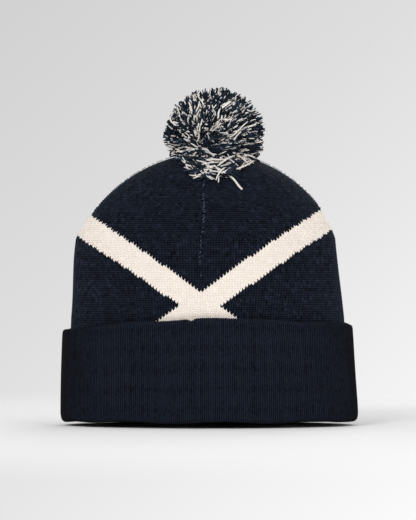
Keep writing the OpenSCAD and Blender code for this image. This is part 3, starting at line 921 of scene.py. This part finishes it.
# Linking stitches inside
LINKS, LINK_STEPS = 226, 5
n = LINKS * LINK_STEPS
t = np.arange(n + 1) / n
u = turn_of(t)
u[-1] = u[0]
loop = np.arange(n + 1) * 2 * math.pi / LINK_STEPS
points = soften(on_body(u, JOIN_Z + 0.55 * np.sin(loop), KNIT_T + 0.75 + 0.35 * np.cos(loop)))
curve_tube("join_seam", points, 0.36, "hat", "navy_thread", navy_thread, 6)

# Gather thread at the tip
a = np.linspace(0, 2 * math.pi, 97)
out_by = 3.3 + 0.25 * np.sin(9 * a)
high_by = CROWN_TOP - 1.6 + 0.35 * np.sin(9 * a + 1)
ring = np.stack([PIVOT[0] + out_by * np.cos(a), out_by * np.sin(a), high_by], axis=-1)
curve_tube("gather_thread", ring, 0.42, "hat", "navy_thread", navy_thread)


def lathe(name, profile, steps, at):
    """A turned shape: profile is radius and height, from the bore round to the bore again."""
    profile = np.asarray(profile)
    a = np.arange(steps) * 2 * math.pi / steps
    pts = np.stack([profile[:, 0][None] * np.cos(a)[:, None], profile[:, 0][None] * np.sin(a)[:, None],
                    np.broadcast_to(profile[:, 1], (steps, len(profile)))], axis=-1) + at
    k = len(profile)
    i, j = np.meshgrid(np.arange(steps), np.arange(k), indexing="ij")
    i_next, j_next = (i + 1) % steps, (j + 1) % k
    quads = np.stack([i * k + j, i_next * k + j, i_next * k + j_next, i * k + j_next], axis=-1)
    return build(name, pts.reshape(-1, 3), quads.reshape(-1, 4), tone=np.zeros(steps * k))


def plastic(name, color, rough, noise):
    """A slightly uneven material of one colour, for the button and the label."""
    material = bpy.data.materials.new(name)
    tree, new, link = links(material)
    out, shader = new("ShaderNodeOutputMaterial"), new("ShaderNodeBsdfPrincipled")
    coord, speck, bump = new("ShaderNodeTexCoord"), new("ShaderNodeTexNoise"), new("ShaderNodeBump")
    speck.inputs["Scale"].default_value = noise
    speck.inputs["Detail"].default_value = 4
    link(coord.outputs["Object"], speck.inputs["Vector"])
    darker, lighter = tuple(c * 0.8 for c in color), tuple(c * 1.2 for c in color)
    specked = ramp(tree, speck.outputs["Fac"], [(0.3, darker), (0.7, lighter)])
    link(specked, shader.inputs["Base Color"])
    shader.inputs["Roughness"].default_value = rough
    bump.inputs["Strength"].default_value = 0.15
    bump.inputs["Distance"].default_value = 0.0002
    link(speck.outputs["Fac"], bump.inputs["Height"])
    link(bump.outputs["Normal"], shader.inputs["Normal"])
    link(shader.outputs["BSDF"], out.inputs["Surface"])
    return material


BUTTON_Z = CROWN_TOP - KNIT_T - 3.2
profile = [
    (2.1, 0.25), (2.5, 0.0), (7.6, 0.0), (8.5, 0.3), (8.95, 1.0), (8.6, 1.75),
    (7.9, 2.0), (7.0, 1.75), (6.3, 1.35), (2.9, 1.35), (2.2, 1.2),
]
o = lathe("anchor_button", profile, 72, np.array([PIVOT[0], 0, BUTTON_Z]))
place(o, "hat", "button", "anchor_button", material=plastic("button", (0.02, 0.023, 0.032), 0.4, 300))

# The tie: a knot under the button, two twisted strands through the tip, and turns round the waist
KNOT_Z = CROWN_TOP - KNIT_T - 7.6
a = np.linspace(0, 2 * math.pi, 120)
knot = np.stack([np.sin(a) + 2 * np.sin(2 * a), np.cos(a) - 2 * np.cos(2 * a), -np.sin(3 * a)], axis=-1)
knot = knot * [0.8, 0.8, 1.7] + [PIVOT[0], 0, KNOT_Z]
curve_tube("tie_knot", knot, 1.0, "tie_anchor", "tie_yarn", cream_yarn)


def twisted(name, start, end, turns, ply, body):
    """Two strands of cream yarn, of radius ply, twisted round each other between two points."""
    start, end = np.asarray(start, float), np.asarray(end, float)
    n = 40
    f = np.linspace(0, 1, n)
    axis = unit(end - start)
    a = unit(np.cross(axis, [0.3, 1.0, 0.1]))
    b = np.cross(axis, a)
    paths = []
    for k in range(2):
        w = f * turns * 2 * math.pi + k * math.pi
        off_axis = a * np.cos(w)[:, None] + b * np.sin(w)[:, None]
        paths.append(start + (end - start) * f[:, None] + ply * off_axis)
    o = tubes(name, np.array(paths), np.full(2, ply), 8, np.array([0.05, -0.05]))
    return place(o, body, "tie_yarn", name, material=cream_yarn)


twisted("tie_neck", [PIVOT[0], 0, KNOT_Z + 2.4], PIVOT - [0, 0, 2.9], 2.2, 0.78, "tie_anchor")
a = np.linspace(0, 6 * math.pi, 90)
wrap = PIVOT + np.stack([1.15 * np.cos(a), 1.15 * np.sin(a), np.linspace(-0.8, 0.8, 90)], axis=-1)
curve_tube("tie_bend", wrap, 0.7, "tie_joint", "tie_yarn", cream_yarn)
up = unit(WAIST_C - PIVOT)
twisted("tie_strand", PIVOT + up * 2.9, WAIST_C - up * 5.2, 1.0, 0.62, "pompom")
a = np.linspace(0, 6 * math.pi, 150)
turns = WAIST_C + np.stack([6.6 * np.cos(a), 6.6 * np.sin(a), np.linspace(-1.3, 1.3, 150)], axis=-1)
curve_tube("pompom_binding", turns, 0.7, "pompom", "tie_yarn", cream_yarn)

# Care label: blank tape folded in two, its ends sewn into the seam
LABEL_LONG, LABEL_HIGH, LABEL_Z = 36.0, 28.0, 74.0
wall = on_body(np.array(SEAM_TURN), np.array(LABEL_Z + LABEL_HIGH), KNIT_T + 2.9)
HINGE = np.array([wall[0], wall[1], LABEL_Z])


def label_mesh():
    """The folded tape: its outline seen from above, stood up, with the top and bottom edges closed."""
    n, rows, tape = 26, 15, 0.17
    f = np.linspace(0, 1, n)
    sag = 0.55 * np.sin(f * math.pi * 1.2)
    near = np.stack([0.9 + f * (LABEL_LONG - 1.3), sag - 0.05 - 0.22 * np.sin(f * math.pi / 2)], axis=-1)
    far = np.stack([0.9 + f * (LABEL_LONG - 1.3), sag + 0.05 + 0.22 * np.sin(f * math.pi / 2)], axis=-1)
    tip = near[-1] * 0.5 + far[-1] * 0.5 + [0.4, 0]
    line = np.concatenate([near, [tip], far[::-1]])
    t = np.gradient(line, axis=0)
    t /= np.maximum(np.linalg.norm(t, axis=1, keepdims=True), 1e-9)
    normal = np.stack([t[:, 1], -t[:, 0]], axis=-1)
    ring = np.concatenate([line + normal * tape, (line - normal * tape)[::-1]])
    z = np.linspace(0, LABEL_HIGH, rows)
    k = len(ring)
    pts = np.zeros((rows, k, 3))
    turn = math.radians(6)
    ripple = 0.22 * np.sin(z / LABEL_HIGH * 5.0)[:, None] * (ring[:, 0] / LABEL_LONG)[None, :]
    x, y = ring[None, :, 0], ring[None, :, 1] + ripple
    pts[..., 0] = HINGE[0] + x * math.cos(turn) - y * math.sin(turn)
    pts[..., 1] = HINGE[1] + x * math.sin(turn) + y * math.cos(turn)
    pts[..., 2] = HINGE[2] + z[:, None]
    i, j = np.meshgrid(np.arange(rows - 1), np.arange(k), indexing="ij")
    j_next = (j + 1) % k
    quads = np.stack([i * k + j, i * k + j_next, (i + 1) * k + j_next, (i + 1) * k + j], axis=-1)
    quads = quads.reshape(-1, 4)
    half = k // 2
    caps = []
    for row, flip in ((0, True), (rows - 1, False)):
        for j in range(half - 1):
            q = [row * k + j, row * k + j + 1, row * k + k - 2 - j, row * k + k - 1 - j]
            caps.append(q[::-1] if flip else q)
    return pts.reshape(-1, 3), np.concatenate([quads, np.array(caps)])


tape_material = plastic("label_tape", (0.78, 0.78, 0.76), 0.55, 900)
pts, quads = label_mesh()
label = build("care_label", pts, quads)
place(label, "label", "label_tape", "care_label", material=tape_material)

z = LABEL_Z + 1.5 + np.arange(10) * 2.8
f = np.linspace(-1, 1, 6)[None, :]
x, y, z = np.broadcast_arrays(HINGE[0] + 0.25 * np.cos(f * 2), HINGE[1], z[:, None] + 0.95 * f)
paths = np.stack([x, y, z], axis=-1)
o = tubes("label_stitching", paths, np.full(10, 0.22), 6, np.zeros(10))
place(o, "hat", "label_thread", "label_stitching", material=cream_yarn)

# ---------------------------------------------------------------- camera, light, floor

scene = bpy.context.scene
camera = bpy.data.objects.new("camera", bpy.data.cameras.new("camera"))
scene.collection.objects.link(camera)
LENS = 300.0
SENSOR = 36.0
FRAME_H = 0.390      # height of the picture, at the hat
EYE_X, EYE_Z = 0.0007, 0.1238
camera.data.lens = LENS
camera.data.sensor_width = SENSOR
camera.data.sensor_fit = "AUTO"
camera.location = (EYE_X, -FRAME_H * LENS / SENSOR, EYE_Z)
camera.rotation_euler = (math.pi / 2, 0, 0)
camera.data.clip_end = 20
scene.camera = camera

world = bpy.data.worlds.new("studio")
scene.world = world
world.use_nodes = True
tree = world.node_tree
tree.nodes.clear()
out = tree.nodes.new("ShaderNodeOutputWorld")
back = tree.nodes.new("ShaderNodeBackground")
toward = tree.nodes.new("ShaderNodeTexCoord")
across = tree.nodes.new("ShaderNodeVectorMath")
across.operation = "DOT_PRODUCT"
# A backdrop that brightens from upper left to lower right
across.inputs[1].default_value = (0.4 / 0.048 / 2, 0, -0.6 / 0.06 / 2)
shift = tree.nodes.new("ShaderNodeMath")
shift.operation = "ADD"
shift.inputs[1].default_value = 0.5
tree.links.new(toward.outputs["Generated"], across.inputs[0])
tree.links.new(across.outputs["Value"], shift.inputs[0])
stops = [(at, (level, level, level)) for at, level in ((0.0, 0.638), (0.4, 0.73), (0.6, 0.799), (1.0, 0.965))]
tree.links.new(ramp(tree, shift.outputs[0], stops), back.inputs["Color"])
back.inputs["Strength"].default_value = 1.0
tree.links.new(back.outputs[0], out.inputs[0])


def area(name, at, size, power):
    """A round soft light, aimed at the middle of the hat."""
    light = bpy.data.lights.new(name, "AREA")
    light.shape = "DISK"
    light.size = size
    light.energy = power
    o = bpy.data.objects.new(name, light)
    o.location = at
    aim = np.array([0, 0, 0.12]) - np.array(at)
    o.rotation_euler = Vector(aim).to_track_quat("-Z", "Y").to_euler()
    scene.collection.objects.link(o)
    return o


area("key", (-1.1, -2.6, 1.5), 1.4, 46)
area("fill", (1.5, -2.4, 0.8), 1.6, 16)
area("back", (0.6, 2.6, 1.5), 1.6, 26)

floor_mesh = bpy.data.meshes.new("floor")
floor_mesh.from_pydata([(-2, -2, 0), (2, -2, 0), (2, 2, 0), (-2, 2, 0)], [], [(0, 1, 2, 3)])
floor = bpy.data.objects.new("floor", floor_mesh)
scene.collection.objects.link(floor)
m = bpy.data.materials.new("floor")
tree, new, link = links(m)
out = new("ShaderNodeOutputMaterial")
diffuse = new("ShaderNodeBsdfDiffuse")
diffuse.inputs["Color"].default_value = (0.85, 0.85, 0.85, 1)
clear = new("ShaderNodeBsdfTransparent")
mixer = new("ShaderNodeMixShader")
coord = new("ShaderNodeTexCoord")
length = new("ShaderNodeVectorMath")
length.operation = "LENGTH"
fade = new("ShaderNodeMapRange")
fade.interpolation_type = "SMOOTHSTEP"
fade.inputs["From Min"].default_value = 0.12
fade.inputs["From Max"].default_value = 0.9
link(coord.outputs["Object"], length.inputs[0])
link(length.outputs["Value"], fade.inputs["Value"])
link(fade.outputs["Result"], mixer.inputs["Fac"])
link(diffuse.outputs[0], mixer.inputs[1])
link(clear.outputs[0], mixer.inputs[2])
link(mixer.outputs[0], out.inputs["Surface"])
floor_mesh.materials.append(m)

scene.view_settings.view_transform = "Standard"
